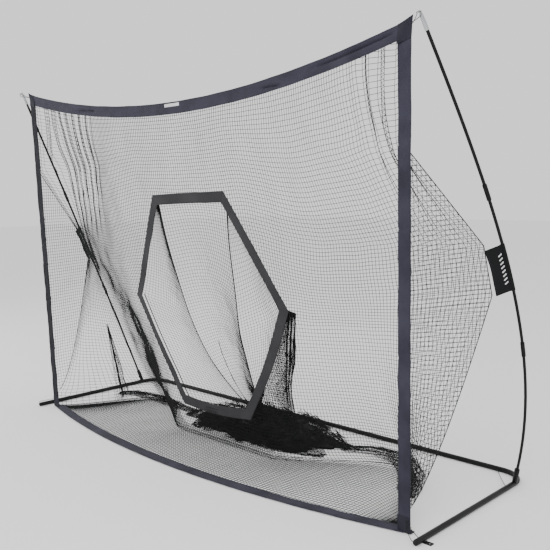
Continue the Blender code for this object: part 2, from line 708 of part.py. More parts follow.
# ---------------------------------------------------------------- assembly
def main():
    rail = make_straight_tube("rail_middle", (-RAIL_JOINT, RAIL_Y, TUBE_Z), (RAIL_JOINT, RAIL_Y, TUBE_Z))
    for side, hand in ((-1, "left"), (1, "right")):
        place = Vector((side * BUTTON_X, RAIL_Y, TUBE_Z))
        boolean(rail, rod_cutter(f"{hand}_rail_hole", place, place + Vector((0, 0, 0.03)), BUTTON_R + GAP))
        make_corner_tube(side, hand)
        make_spigot(f"{hand}_rail_spigot", (side * RAIL_JOINT, RAIL_Y, TUBE_Z), (1, 0, 0), side)
        make_snap_button(side, hand)
        make_leg(side, hand)
        make_pole_socket(side, hand)
        make_corner_cord(side, hand)
        make_pole(side, hand)
        make_side_tab(side, hand)
    make_bands()
    make_corner_patches()
    make_corner_loops()
    make_catch_net()
    make_floor_net()
    make_gussets()
    make_hexagon_band()
    make_pocket_net()
    make_pocket_heap()


main()
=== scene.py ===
import math

import bpy
from mathutils import Matrix, Vector, noise


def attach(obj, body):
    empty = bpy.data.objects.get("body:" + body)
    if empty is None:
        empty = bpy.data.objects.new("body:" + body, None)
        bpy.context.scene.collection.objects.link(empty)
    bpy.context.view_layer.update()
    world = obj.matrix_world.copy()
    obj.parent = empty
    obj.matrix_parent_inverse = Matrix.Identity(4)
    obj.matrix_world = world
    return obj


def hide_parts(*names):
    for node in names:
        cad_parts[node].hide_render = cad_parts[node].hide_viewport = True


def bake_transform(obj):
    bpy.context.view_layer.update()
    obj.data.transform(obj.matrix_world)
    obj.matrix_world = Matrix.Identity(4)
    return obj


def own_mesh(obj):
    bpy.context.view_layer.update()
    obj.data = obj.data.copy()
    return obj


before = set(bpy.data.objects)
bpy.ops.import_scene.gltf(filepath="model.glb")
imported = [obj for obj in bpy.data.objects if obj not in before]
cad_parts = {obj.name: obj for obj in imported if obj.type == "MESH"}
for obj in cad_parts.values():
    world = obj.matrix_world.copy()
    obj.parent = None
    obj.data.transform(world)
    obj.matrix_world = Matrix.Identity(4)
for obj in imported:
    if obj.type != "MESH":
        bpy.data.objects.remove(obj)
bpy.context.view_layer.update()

# Hitting net with a hexagonal chipping pocket: netting knotted strand by strand, sewn bands, tabs and loops.
# Metres, +Z up; the mouth faces -Y.
hands = ((-1, "left"), (1, "right"))

# shape of the whole: the same numbers as the steel base and the poles were made to
shape = {
    "frontY": -0.36635, "depth": 0.910, "tubeRadius": 0.0127, "halfWidth": 1.515, "legTip": 0.060,
    "legJoint": 0.690, "cornerX": 1.474, "cornerZ": 2.085, "lowerCornerX": 1.445, "topLean": 0.060,
    "bandWidth": 0.062, "topSag": 0.180, "floorBulge": 0.190, "netBehind": 0.0085, "sideGap": 0.022,
    "sideFlare": 0.150, "tabBack": 0.415, "tabUpper": 0.81, "sideTop": 1.610, "sideFoot": 0.100,
}
pole = {
    "length": 2.291, "straight": 0.110, "socketBack": 0.783,
    "out": (0.2908, -0.1650), "forward": (0.2328, 0.5245),
}


# ---- helpers for modelling
def pickOnly(piece):
    bpy.ops.object.select_all(action="DESELECT")
    piece.select_set(True)
    bpy.context.view_layer.objects.active = piece


def finishWith(piece, kind, **settings):
    modifier = piece.modifiers.new(kind.lower(), kind)
    for key, value in settings.items():
        setattr(modifier, key, value)
    pickOnly(piece)
    bpy.ops.object.modifier_apply(modifier=modifier.name)
    return piece


def rename(piece, name):
    piece.name = piece.data.name = name
    return piece


def shadeSoft(piece, angle=40):
    pickOnly(piece)
    bpy.ops.object.shade_smooth_by_angle(angle=math.radians(angle))
    return piece


def addObject(name, data):
    piece = bpy.data.objects.new(name, data)
    bpy.context.scene.collection.objects.link(piece)
    return piece


def cutFaces(piece, isCut):
    pickOnly(piece)
    mesh = piece.data
    for part in (*mesh.vertices, *mesh.edges):
        part.select = False
    for face in mesh.polygons:
        face.select = isCut(face.center)
    bpy.ops.object.mode_set(mode="EDIT")
    bpy.ops.mesh.select_mode(type="FACE")
    bpy.ops.mesh.delete(type="FACE")
    bpy.ops.object.mode_set(mode="OBJECT")


def gridPiece(name, across, along, place, flat):
    # a grid whose points place(u, v) sets, u and v from 0 to 1, its UV map in metres of flat cloth
    bpy.ops.object.select_all(action="DESELECT")
    bpy.ops.mesh.primitive_grid_add(x_subdivisions=across, y_subdivisions=along, size=1)
    piece = rename(bpy.context.object, name)
    for entry in piece.data.uv_layers.active.data:
        entry.uv = (entry.uv[0] * flat[0], entry.uv[1] * flat[1])
    for vert in piece.data.vertices:
        vert.co = place(vert.co.x + 0.5, vert.co.y + 0.5)
    return piece


def clothPiece(name, across, along, place, flat, thickness, material):
    piece = gridPiece(name, across, along, place, flat)
    piece.data.materials.append(material)
    finishWith(piece, "SOLIDIFY", thickness=thickness, offset=0)
    finishWith(piece, "BEVEL", width=thickness * 0.38, segments=2, limit_method="ANGLE",
               angle_limit=math.radians(60))
    return shadeSoft(piece, 50)


def netPiece(name, across, along, place, flat, twine, material, isCut=None):
    piece = gridPiece(name, across, along, place, flat)
    if isCut:
        cutFaces(piece, isCut)
    piece.data.materials.append(material)
    finishWith(piece, "WIREFRAME", thickness=twine, offset=0, use_replace=True, use_boundary=True,
               use_even_offset=False, use_relative_offset=False)
    pickOnly(piece)
    bpy.ops.object.shade_smooth()
    return piece


def tubePiece(name, points, radius, material, sides=2):
    # a round cord along points, made a mesh
    curve = bpy.data.curves.new(name, "CURVE")
    curve.dimensions = "3D"
    curve.bevel_depth = radius
    curve.bevel_resolution = sides
    curve.use_fill_caps = True
    spline = curve.splines.new("POLY")
    spline.points.add(len(points) - 1)
    for point, place in zip(spline.points, points):
        point.co = (*place, 1)
    pickOnly(addObject(name, curve))
    bpy.ops.object.convert(target="MESH")
    piece = bpy.context.object
    piece.data.materials.append(material)
    bpy.ops.object.mode_set(mode="EDIT")
    bpy.ops.mesh.select_all(action="SELECT")
    bpy.ops.mesh.remove_doubles(threshold=0.00001)
    bpy.ops.mesh.normals_make_consistent(inside=False)
    bpy.ops.object.mode_set(mode="OBJECT")
    return shadeSoft(rename(piece, name), 50)


def copiesOf(name, template, places, material):
    # one mesh with the template standing at every place in the list of matrices
    points = [vert.co.copy() for vert in template.data.vertices]
    faces = [list(face.vertices) for face in template.data.polygons]
    allPoints, allFaces = [], []
    for i, place in enumerate(places):
        allPoints += [place @ point for point in points]
        allFaces += [[index + i * len(points) for index in face] for face in faces]
    mesh = bpy.data.meshes.new(name)
    mesh.from_pydata(allPoints, [], allFaces)
    mesh.materials.append(material)
    return shadeSoft(addObject(name, mesh), 60)


def smoothRoute(points, count):
    result = []
    last = len(points) - 1
    for i in range(count):
        place = last * i / (count - 1)
        k = min(int(place), last - 1)
        t = place - k
        p0, p1, p2, p3 = (Vector(points[min(max(j, 0), last)]) for j in (k - 1, k, k + 1, k + 2))
        result.append(0.5 * (2 * p1 + (p2 - p0) * t + (2 * p0 - 5 * p1 + 4 * p2 - p3) * t * t
                             + (3 * p1 - p0 - 3 * p2 + p3) * t ** 3))
    return result


def routeLength(points):
    return sum((Vector(b) - Vector(a)).length for a, b in zip(points, points[1:]))


def ease(value):
    value = min(max(value, 0), 1)
    return value * value * (3 - 2 * value)


def ripple(x, y, z, scale, seed=0):
    return noise.noise(Vector((x * scale + seed, y * scale - seed, z * scale + 2 * seed)))


# ---- helpers for materials
def newFinish(name, colour, roughness, metallic=0, specular=0.5):
    material = bpy.data.materials.new(name)
    material.use_nodes = True
    shader = material.node_tree.nodes["Principled BSDF"]
    shader.inputs["Base Color"].default_value = (*colour, 1)
    shader.inputs["Roughness"].default_value = roughness
    shader.inputs["Metallic"].default_value = metallic
    shader.inputs["Specular IOR Level"].default_value = specular
    return material, shader


def addNode(material, kind, values=None, **settings):
    node = material.node_tree.nodes.new(kind)
    for key, value in settings.items():
        setattr(node, key, value)
    for key, value in (values or {}).items():
        node.inputs[key].default_value = value
    return node


def join(material, output, target):
    material.node_tree.links.new(output, target)


def noiseOf(material, source, scale, detail=3, stretch=(1, 1, 1)):
    mapping = addNode(material, "ShaderNodeMapping", {"Scale": stretch})
    join(material, source, mapping.inputs["Vector"])
    texture = addNode(material, "ShaderNodeTexNoise", {"Scale": scale, "Detail": detail})
    join(material, mapping.outputs["Vector"], texture.inputs["Vector"])
    return texture.outputs["Fac"]


def coloursAlong(material, factor, stops):
    ramp = addNode(material, "ShaderNodeValToRGB")
    while len(ramp.color_ramp.elements) < len(stops):
        ramp.color_ramp.elements.new(0.5)
    for element, (place, colour) in zip(ramp.color_ramp.elements, stops):
        element.position = place
        element.color = (*colour, 1)
    join(material, factor, ramp.inputs["Fac"])
    return ramp.outputs["Color"]


def multiplied(material, base, shade, share):
    mix = addNode(material, "ShaderNodeMix", data_type="RGBA", blend_type="MULTIPLY")
    mix.inputs[0].default_value = share
    join(material, base, mix.inputs[6])
    join(material, shade, mix.inputs[7])
    return mix.outputs[2]


def rangeOf(material, factor, low, high):
    spread = addNode(material, "ShaderNodeMapRange",
                     {"From Min": 0.3, "From Max": 0.7, "To Min": low, "To Max": high})
    join(material, factor, spread.inputs["Value"])
    return spread.outputs["Result"]


def bumpFrom(material, height, strength, distance, under=None):
    bump = addNode(material, "ShaderNodeBump", {"Strength": strength, "Distance": distance})
    join(material, height, bump.inputs["Height"])
    if under:
        join(material, under, bump.inputs["Normal"])
    return bump.outputs["Normal"]


def objectPlace(material):
    return addNode(material, "ShaderNodeTexCoord").outputs["Object"]


def coatFinish(name, colour, worn, roughness, grain, metallic=0, scratches=0.25, specular=0.5):
    # a sprayed or moulded surface: orange peel, faint cloudiness and fine rubbed marks
    material, shader = newFinish(name, colour, roughness, metallic, specular)
    place = objectPlace(material)
    cloud = noiseOf(material, place, 9, 4)
    rubbed = noiseOf(material, place, 55, 6, (1, 1, 3.5))
    darker = tuple(channel * 0.72 for channel in colour)
    base = coloursAlong(material, cloud, [(0.30, darker), (0.62, colour)])
    marks = addNode(material, "ShaderNodeMapRange",
                    {"From Min": 0.60, "From Max": 0.78, "To Min": 0, "To Max": scratches})
    join(material, rubbed, marks.inputs["Value"])
    mix = addNode(material, "ShaderNodeMix", data_type="RGBA")
    mix.inputs[7].default_value = (*worn, 1)
    join(material, marks.outputs["Result"], mix.inputs[0])
    join(material, base, mix.inputs[6])
    join(material, mix.outputs[2], shader.inputs["Base Color"])
    join(material, rangeOf(material, cloud, roughness - 0.07, roughness + 0.08), shader.inputs["Roughness"])
    peel = noiseOf(material, place, grain, 2)
    join(material, bumpFrom(material, peel, 0.25, 0.0004), shader.inputs["Normal"])
    return material


def weaveHeight(material, threads):
    # crossing threads read from the cloth's own UV map, which is in metres
    uv = addNode(material, "ShaderNodeTexCoord").outputs["UV"]
    waves = []
    for direction in ("X", "Y"):
        wave = addNode(material, "ShaderNodeTexWave", {"Scale": threads, "Distortion": 0.4},
                       bands_direction=direction)
        join(material, uv, wave.inputs["Vector"])
        waves.append(wave.outputs["Fac"])
    cross = addNode(material, "ShaderNodeMath", operation="MAXIMUM")
    join(material, waves[0], cross.inputs[0])
    join(material, waves[1], cross.inputs[1])
    return cross.outputs["Value"]


def clothFinish(name, colour, light, roughness, threads=180, sheen=0.04):
    material, shader = newFinish(name, colour, roughness, 0, 0.18)
    shader.inputs["Sheen Weight"].default_value = sheen
    shader.inputs["Sheen Roughness"].default_value = 0.45
    place = objectPlace(material)
    patches = noiseOf(material, place, 7, 5)
    fibres = noiseOf(material, place, 420, 2)
    weave = weaveHeight(material, threads)
    base = coloursAlong(material, patches, [(0.32, colour), (0.70, light)])
    shade = coloursAlong(material, weave, [(0.15, (0.62, 0.62, 0.64)), (0.75, (1, 1, 1))])
    join(material, multiplied(material, base, shade, 0.85), shader.inputs["Base Color"])
    join(material, rangeOf(material, patches, roughness - 0.06, roughness + 0.06), shader.inputs["Roughness"])
    fuzz = bumpFrom(material, fibres, 0.20, 0.0003)
    join(material, bumpFrom(material, weave, 0.55, 0.0004, fuzz), shader.inputs["Normal"])
    return material


def twineFinish(name, colour, light, roughness=0.7):
    # twisted polyester twine: fine strands lighter where they catch the light
    material, shader = newFinish(name, colour, roughness, 0, 0.2)
    place = objectPlace(material)
    twist = noiseOf(material, place, 900, 2)
    worn = noiseOf(material, place, 14, 4)
    base = coloursAlong(material, twist, [(0.35, colour), (0.72, light)])
    shade = coloursAlong(material, worn, [(0.30, (0.75, 0.75, 0.76)), (0.70, (1, 1, 1))])
    join(material, multiplied(material, base, shade, 1), shader.inputs["Base Color"])
    join(material, rangeOf(material, worn, roughness - 0.1, roughness + 0.1), shader.inputs["Roughness"])
    join(material, bumpFrom(material, twist, 0.6, 0.0004), shader.inputs["Normal"])
    return material


powderCoat = coatFinish("satinBlackPowderCoat", (0.0032, 0.0032, 0.0036), (0.016, 0.016, 0.017), 0.42, 900,
                        specular=0.22)
rodCoat = coatFinish("blackFibreglass", (0.0024, 0.0024, 0.0027), (0.010, 0.010, 0.011), 0.34, 380,
                     specular=0.20)
zincPlate = coatFinish("brightZincPlate", (0.56, 0.57, 0.59), (0.75, 0.76, 0.78), 0.30, 600, 1, 0.5)
tipMetal = coatFinish("greyTipMetal", (0.50, 0.51, 0.53), (0.72, 0.73, 0.75), 0.36, 500, 0.7, 0.5)
blackPlastic = coatFinish("blackMouldedPlastic", (0.004, 0.004, 0.0045), (0.020, 0.020, 0.021), 0.50, 1400,
                          specular=0.25)
bandCloth = clothFinish("navyCharcoalBand", (0.0200, 0.0195, 0.0310), (0.0420, 0.0405, 0.0600), 0.78)
cornerCloth = clothFinish("darkCornerCloth", (0.0105, 0.0105, 0.0165), (0.0240, 0.0235, 0.0350), 0.80)
hexagonCloth = clothFinish("greyHexagonBand", (0.0270, 0.0270, 0.0290), (0.0430, 0.0430, 0.0460), 0.85, 150)
# the navy band cloth again, darkened: painted shade for the left side band, which stands in shadow
leftBandPaintedShadeCloth = clothFinish("bandClothPaintedShade", (0.0060, 0.0060, 0.0090), (0.0150, 0.0148, 0.0210), 0.80)
tabCloth = clothFinish("blackTabCloth", (0.0022, 0.0026, 0.0030), (0.0055, 0.0062, 0.0070), 0.70)
labelCloth = clothFinish("whiteWovenLabel", (0.62, 0.62, 0.63), (0.82, 0.82, 0.83), 0.75, 300, 0.1)
bandThread = twineFinish("bandThread", (0.020, 0.020, 0.030), (0.060, 0.060, 0.078))
paleThread = twineFinish("paleThread", (0.66, 0.67, 0.68), (0.88, 0.88, 0.88))
netTwine = twineFinish("blackNetTwine", (0.0036, 0.0040, 0.0040), (0.0170, 0.0185, 0.0185))
heapTwine = twineFinish("bunchedNetTwine", (0.0012, 0.0012, 0.0014), (0.0300, 0.0310, 0.0310))
elastic = twineFinish("blackElastic", (0.006, 0.006, 0.0065), (0.022, 0.022, 0.024))
print("finishes ready")


# ---- lines that the netting and the bands follow
def poleDirection(side, s):
    u = min(max((s - pole["straight"]) / (pole["length"] - pole["straight"]), 0), 1)
    out, forward = (low + (high - low) * (2 * u - u * u) for low, high in (pole["out"], pole["forward"]))
    return Vector((side * out, -forward, 1)).normalized()


def polePoint(side, s):
    steps = 240
    run = sum((poleDirection(side, s * (i + 0.5) / steps) for i in range(steps)), Vector())
    foot = Vector((side * shape["halfWidth"], shape["frontY"] + pole["socketBack"], shape["tubeRadius"]))
    return foot + run * (s / steps)


def mouthY(z):
    return shape["frontY"] - shape["topLean"] * z / shape["cornerZ"]


def sideX(z):
    return shape["lowerCornerX"] + (shape["cornerX"] - shape["lowerCornerX"]) * z / shape["cornerZ"]


def topEdgeZ(x):
    return shape["cornerZ"] - shape["topSag"] * (1 - (x / shape["cornerX"]) ** 2)


def floorEdgeY(x):
    return shape["frontY"] - shape["floorBulge"] * (1 - (x / shape["lowerCornerX"]) ** 2)


tab = {
    "z": 1.090, "height": 0.220, "start": 1.060, "width": 0.080, "flatWidth": 0.20, "wrapRadius": 0.0086,
    "cloth": 0.0012,
    "bars": 8, "barLength": 0.019, "barWidth": 0.0060, "barPitch": 0.0190,
}
tabLow, tabHigh = tab["z"] - tab["height"] / 2, tab["z"] + tab["height"] / 2


def softStart(t, soft):
    # from 0 to 1, straight but for a gentle start
    t = min(max(t, 0), 1)
    return (t * t / (2 * soft) if t < soft else t - soft / 2) / (1 - soft / 2)


def sideShare(z):
    if z > tabHigh:
        return softStart((shape["sideTop"] - z) / (shape["sideTop"] - tabHigh), 0.08)
    return min(1, (max(0, z - shape["sideFoot"]) / (tabLow - shape["sideFoot"])) ** 0.9)


def netHalf(z):
    return sideX(z) - shape["sideGap"] + shape["sideFlare"] * sideShare(z)


def floorLine(x):
    rise = ease((abs(x) - 0.35) / 0.60)
    fall = ease((abs(x) - 1.02) / 0.42)
    return (0.240 + 0.380 * rise) * (1 - fall) + 0.012 * fall


def slackY(x, z):
    # how the rear netting hangs: off the top band, drawn back to the tabs, lying back on the floor
    across = abs(x) / netHalf(z)
    side = ease((across - 0.80) / 0.17)
    pull = 0.110 + (shape["tabBack"] - 0.110) * max(0, (across - 0.42) / 0.58) ** 1.5
    start = topEdgeZ(x) * (1 - side) + shape["sideTop"] * side
    if z > tabHigh:
        soft = 0.08 + 0.30 * (1 - side)
        back = pull * shape["tabUpper"] * softStart((start - z) / (start - tabHigh), soft)
    elif z > tabLow:
        back = pull * (1 + (shape["tabUpper"] - 1) * (z - tabLow) / (tabHigh - tabLow))
    else:
        foot = floorLine(x)
        lift = shape["sideFoot"] * side
        back = foot + (pull - foot) * max(0, (z - lift) / (tabLow - lift)) ** 0.68
    return mouthY(z) + shape["netBehind"] + back


hexagon = {
    "halfWidth": 0.620, "topHalf": 0.310, "middleZ": 0.830, "halfHeight": 0.610, "band": 0.057,
    # as sewn, from the top right corner clockwise
    "corners": [(0.304, 1.442), (0.648, 0.850), (0.292, 0.214),
                (-0.272, 0.198), (-0.606, 0.830), (-0.292, 1.426)],
}


def hexagonCorners(scale):
    return [(x * scale, hexagon["middleZ"] + (z - hexagon["middleZ"]) * scale) for x, z in hexagon["corners"]]


def netY(x, z):
    # the hexagon's sewn band is straight between its corners, and the netting near it follows
    rise = z - hexagon["middleZ"]
    lean = (hexagon["halfWidth"] - hexagon["topHalf"]) / hexagon["halfHeight"]
    level, slant = abs(rise) / hexagon["halfHeight"], (abs(x) + lean * abs(rise)) / hexagon["halfWidth"]
    reach = max(level, slant, 0.3)
    edgeX, edgeZ = x / reach, hexagon["middleZ"] + rise / reach
    end = hexagon["middleZ"] + math.copysign(hexagon["halfHeight"], rise)
    share = min(1, abs(edgeZ - hexagon["middleZ"]) / hexagon["halfHeight"])
    middle, far = slackY(hexagon["halfWidth"], hexagon["middleZ"]), slackY(hexagon["topHalf"], end)
    straight = middle * (1 - share) + far * share
    near = 1 - ease((reach - 1) / 1.1)
    return slackY(x, z) + near * (straight - slackY(edgeX, edgeZ))


def onLoop(corners, t):
    count = len(corners)
    place = (t % 1) * count
    index = min(int(place), count - 1)
    share = place - index
    (x1, z1), (x2, z2) = corners[index], corners[(index + 1) % count]
    return x1 + (x2 - x1) * share, z1 + (z2 - z1) * share


def hexagonEdge(t, scale):
    # the lower right side is drawn out by the slack pocket and the bottom side sags
    x, z = onLoop(hexagonCorners(scale), t)
    side, share = divmod((t % 1) * 6, 1)
    bow = {1: 0.020, 2: 0.018}.get(int(side), 0.002) * math.sin(math.pi * share)
    away = Vector((x, z - hexagon["middleZ"])).normalized() * bow
    return x + away.x, z + away.y


def insideHexagon(x, z, scale):
    corners = hexagonCorners(scale)
    return all((x2 - x1) * (z - z1) - (z2 - z1) * (x - x1) < 0
               for (x1, z1), (x2, z2) in zip(corners, corners[1:] + corners[:1]))


# ---- camera first, because it settles the framing
view = {"place": (3.156, -2.915, 1.432), "yaw": 0.772, "pitch": 0.109, "roll": -0.013, "lens": 49.4}
cameraData = bpy.data.cameras.new("viewCamera")
cameraData.lens = view["lens"]
camera = addObject("viewCamera", cameraData)
camera.matrix_world = (Matrix.Translation(view["place"]) @ Matrix.Rotation(view["yaw"], 4, "Z")
                       @ Matrix.Rotation(math.pi / 2 - view["pitch"], 4, "X")
                       @ Matrix.Rotation(view["roll"], 4, "Z"))
bpy.context.scene.camera = camera

studio = {"floorSize": 60, "floorColour": 0.90, "sky": 1.15, "lampSize": 5.0, "keyPower": 260,
          "fillPower": 110, "aimHeight": 0.9}
bpy.ops.object.select_all(action="DESELECT")
bpy.ops.mesh.primitive_plane_add(size=studio["floorSize"], location=(0, 0, -0.0005))
floor = rename(bpy.context.object, "studioFloor")
floorFinish = newFinish("paleFloor", (studio["floorColour"],) * 3, 0.9, 0, 0.1)[0]
floor.data.materials.append(floorFinish)
world = bpy.data.worlds.new("studioWorld")
world.use_nodes = True
sky = world.node_tree.nodes["Background"]
sky.inputs["Color"].default_value = (1, 1, 1, 1)
sky.inputs["Strength"].default_value = studio["sky"]
bpy.context.scene.world = world
for name, place, power in (("keyLight", (3.5, -4.5, 5.0), studio["keyPower"]),
                           ("fillLight", (-4.5, -2.5, 3.5), studio["fillPower"])):
    lampData = bpy.data.lights.new(name, "AREA")
    lampData.size = studio["lampSize"]
    lampData.energy = power
    lamp = addObject(name, lampData)
    lamp.location = place
    aim = Vector((0, 0, studio["aimHeight"])) - Vector(place)
    lamp.rotation_euler = aim.to_track_quat("-Z", "Y").to_euler()
print("camera and studio ready")


# ---- finishes of the steel, rods and fittings
nodeFinishes = {
    powderCoat: ("tube", "stake_plate", "pole_socket", "rail_middle"),
    zincPlate: ("spigot", "snap_button", "tip_hook"),
    tipMetal: ("pole_tip",),
    blackPlastic: ("leg_cap", "socket_bush"),
    rodCoat: ("lower_pole", "middle_pole", "upper_pole", "ferrule"),
}
for name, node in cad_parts.items():
    for finish, words in nodeFinishes.items():
        if any(name.endswith(word) for word in words):
            for slot in node.material_slots:
                slot.material = finish
print("frame painted")


# ---- rear netting, in two halves that reach from the middle to the tabs
netting = {"twine": 0.0030, "rows": 98, "columns": 90, "pleatDepth": 0.032, "pleatPitch": 0.080,
           "pleatSpan": 1.46, "pleatStart": {-1: 0.78, 1: 1.12}}


def pleatDepth(side, x, z):
    # folds below the ends of the top band, wider on the left, that fade at the tabs and at the side bands
    sideways = ease((x - netting["pleatStart"][side]) / 0.14)
    upward = ease((z - 1.10) / 0.60)
    deeper, fade = 1 + 0.9 * ease((x - 1.18) / 0.16), ease((1.45 - x) / 0.07)
    return netting["pleatDepth"] * sideways * upward * deeper * fade


def netPlace(side):
    def place(u, v):
        # columns stand closer in the pleats
        gather = u + 0.10 * u * (1 - u) - 0.05 * math.sin(math.pi * u ** 3)
        top = topEdgeZ(gather * shape["cornerX"]) - 0.030
        z = 0.010 + (top - 0.010) * v
        hang = math.sin(math.pi * min(max((z - 0.80) / (top - 0.80), 0), 1))
        z -= 0.100 * ease((gather - 0.24) / 0.34) * (1 - 0.6 * ease((gather - 0.72) / 0.28)) * hang
        x = side * gather * netHalf(z)
        turns = 2 * math.pi * gather * netting["pleatSpan"] / netting["pleatPitch"]
        fold = 0.5 + 0.5 * math.sin(turns + 2.4 * ripple(x, 0, z, 1.3, 3))
        y = netY(x, z) + pleatDepth(side, gather * sideX(z), z) * fold ** 1.5
        edge = min(1, (1 - gather) * 14) * min(1, (top - z) * 9) * ease((z - 0.03) / 0.15)
        y += 0.012 * edge * ripple(x, y, z, 2.6, 7) + 0.005 * edge * ripple(x, y, z, 9, 1)
        x += 0.004 * edge * ripple(x, z, y, 7, 4)
        return Vector((x, y, z + 0.004 * edge * ripple(x, z, y, 8, 14)))
    return place


for side, hand in hands:
    half = netPiece(f"{hand}_catch_net", netting["columns"], netting["rows"], netPlace(side), (1.50, 2.25),
                    netting["twine"], netTwine, lambda centre: insideHexagon(centre.x, centre.z, 0.965))
    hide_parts("catch_net")
    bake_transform(half)
print("rear netting knotted")

gusset = {"low": 0.118, "high": 1.590, "depth": 0.46, "columns": 23, "rows": 74}


def gussetEdge(z):
    return max(mouthY(z) + 0.010, slackY(netHalf(z), z) - 0.002)


def gussetPlace(side):
    # square netting cut to the slanting edge: columns past it are gathered on it and cut away
    def place(u, v):
        z = gusset["low"] + (gusset["high"] - gusset["low"]) * v
        front, back = mouthY(z) + 0.006, gussetEdge(z)
        y = min(front + gusset["depth"] * u, back)
        share = (y - front) / (back - front)
        slack = 0.014 * math.sin(math.pi * share) * ripple(0, y, z, 5, 11)
        x = side * (sideX(z) - 0.012 + (shape["sideFlare"] * sideShare(z) - 0.010) * share + slack)
        return Vector((x, y, z))
    return place


for side, hand in hands:
    piece = netPiece(f"{hand}_gusset_net", gusset["columns"], gusset["rows"], gussetPlace(side), (0.5, 1.5),
                     netting["twine"], netTwine, lambda centre: centre.y > gussetEdge(centre.z) - 0.0012)
    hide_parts(f"{hand}_gusset")
    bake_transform(piece)

# the corded edge where netting and gusset are sewn together, and where the tab is sewn on
edging = {"radius": 0.0019, "low": 0.112, "high": 1.600, "points": 90}
for side, hand in hands:
    line = []
    for i in range(edging["points"]):
        z = edging["low"] + (edging["high"] - edging["low"]) * i / (edging["points"] - 1)
        x = side * netHalf(z)
        line.append(Vector((x, netY(x, z) + 0.001 * ripple(x, 0, z, 30, 2), z)))
    piece = tubePiece(f"{hand}_net_edging", line, edging["radius"], netTwine, 1)
    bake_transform(piece)
print("gussets knotted")

# ---- netting on the floor
floorNet = {"columns": 138, "rows": 30, "twine": 0.0027}


def floorNetPlace(u, v):
    edge = shape["lowerCornerX"] - shape["bandWidth"] + 0.010
    x = (2 * u - 1) * edge
    front = floorEdgeY(x) + shape["bandWidth"] - 0.006
    back = max(front + 0.020, netY(x, 0.009) - 0.002 + 0.090 * (1 - ease((abs(x) - 0.35) / 0.50)))
    y = front + (back - front) * v
    lift = 0.0016 + 0.004 * (0.5 + 0.5 * ripple(x, y, 0, 6, 5)) * math.sin(math.pi * v)
    return Vector((x, y, lift + 0.006 * ease((v - 0.93) / 0.07)))


piece = netPiece("floor_netting", floorNet["columns"], floorNet["rows"], floorNetPlace, (2.78, 0.62),
                 floorNet["twine"], netTwine)
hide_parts("floor_net")
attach(piece, "frame")

# bunched netting where the rear net turns on to the floor beside the heap
bunch = {"columns": 46, "rows": 11, "twine": 0.0026, "height": 0.040, "width": 0.130}
bunchRoutes = {
    "left": [(-0.60, 0.565), (-0.78, 0.575), (-0.98, 0.590), (-1.16, 0.590), (-1.30, 0.560), (-1.38, 0.500)],
    "right": [(0.56, 0.66), (0.74, 0.740), (0.92, 0.720), (1.06, 0.590), (1.15, 0.45), (1.22, 0.33)],
}


def bunchPlace(hand, layer):
    line = smoothRoute([(x, y, 0) for x, y in bunchRoutes[hand]], 60)
    size = 0.72 if hand == "left" else 1

    def place(u, v):
        here = u * (len(line) - 1)
        k = min(int(here), len(line) - 2)
        middle = line[k].lerp(line[k + 1], here - k)
        along = (line[k + 1] - line[k]).normalized()
        across = Vector((along.y, -along.x, 0))
        swell = math.sin(math.pi * min(max(u, 0.001), 0.999)) ** 0.6
        wave = math.sin(2 * math.pi * (2.4 * v + 0.3 * layer) + 3 * ripple(middle.x, middle.y, 0, 5, layer))
        offset = (v - 0.5) * bunch["width"] * size * (0.35 + 0.65 * swell)
        offset += 0.020 * ripple(u * 9, v * 4, layer, 1, 2)
        crumple = 0.35 + 0.30 * wave + 0.5 * abs(ripple(u * 16, v * 3, layer, 1, 4))
        height = 0.004 + bunch["height"] * size * swell * crumple
        height = height * (1 - 0.75 * abs(2 * v - 1) ** 3) + 0.008 * abs(ripple(u * 40, v * 9, layer, 1, 6))
        point = middle + across * offset + along * 0.012 * ripple(u * 30, v * 6, layer, 1, 9)
        return Vector((point.x, shape["frontY"] + point.y - 0.02, max(height, 0.0022)))
    return place


for side, hand in hands:
    for layer in (0, 1):
        piece = netPiece(f"{hand}_floor_bunch_{layer + 1}", bunch["columns"], bunch["rows"],
                         bunchPlace(hand, layer), (0.8, 0.3), bunch["twine"], netTwine)
        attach(piece, "frame")


rising = {"columns": 9, "rows": 28, "height": 0.56, "width": 0.150}


def risingFold(layer):
    # slack netting that stands up from the end of the left bunch
    def place(u, v):
        z = 0.006 + rising["height"] * v
        width = rising["width"] * (1 - v) ** 1.2 + 0.006
        x = -1.300 + 0.150 * v + width * (u - 0.5) * 0.8
        y = 0.470 - 0.210 * v - width * (u - 0.5) * 0.9 + 0.016 * math.sin(9 * u + 2 * layer) * (1 - v)
        y += 0.010 * ripple(x, z, layer, 9, 3 + layer) - 0.012 * layer
        return Vector((x, shape["frontY"] + y, z))
    return place


for layer in (0, 1):
    piece = netPiece(f"left_rising_fold_{layer + 1}", rising["columns"], rising["rows"], risingFold(layer),
                     (0.18, 0.56), netting["twine"], netTwine)
    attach(piece, "frame")
print("floor netting laid")

# ---- pocket behind the hexagon: a middle panel, two side panels and a lower panel, with corded seams
pocket = {"twine": 0.0026, "seamRadius": 0.0030, "hem": 0.945}
leftSeam = [(-0.285, 0.052, 1.395), (-0.262, 0.085, 1.180), (-0.262, 0.165, 0.930), (-0.275, 0.265, 0.690),
            (-0.262, 0.385, 0.450), (-0.200, 0.510, 0.240), (-0.110, 0.600, 0.090)]
rightSeam = [(0.285, 0.052, 1.395), (0.262, 0.085, 1.180), (0.205, 0.175, 0.895), (0.130, 0.272, 0.668),
             (0.085, 0.362, 0.490), (0.028, 0.492, 0.240), (0.000, 0.590, 0.090)]


def behindMouth(points, count):
    return smoothRoute([(x, shape["frontY"] + y, z) for x, y, z in points], count)


def hemPoint(t):
    x, z = hexagonEdge(t, pocket["hem"])
    return Vector((x, netY(x, z) + 0.0060, z))


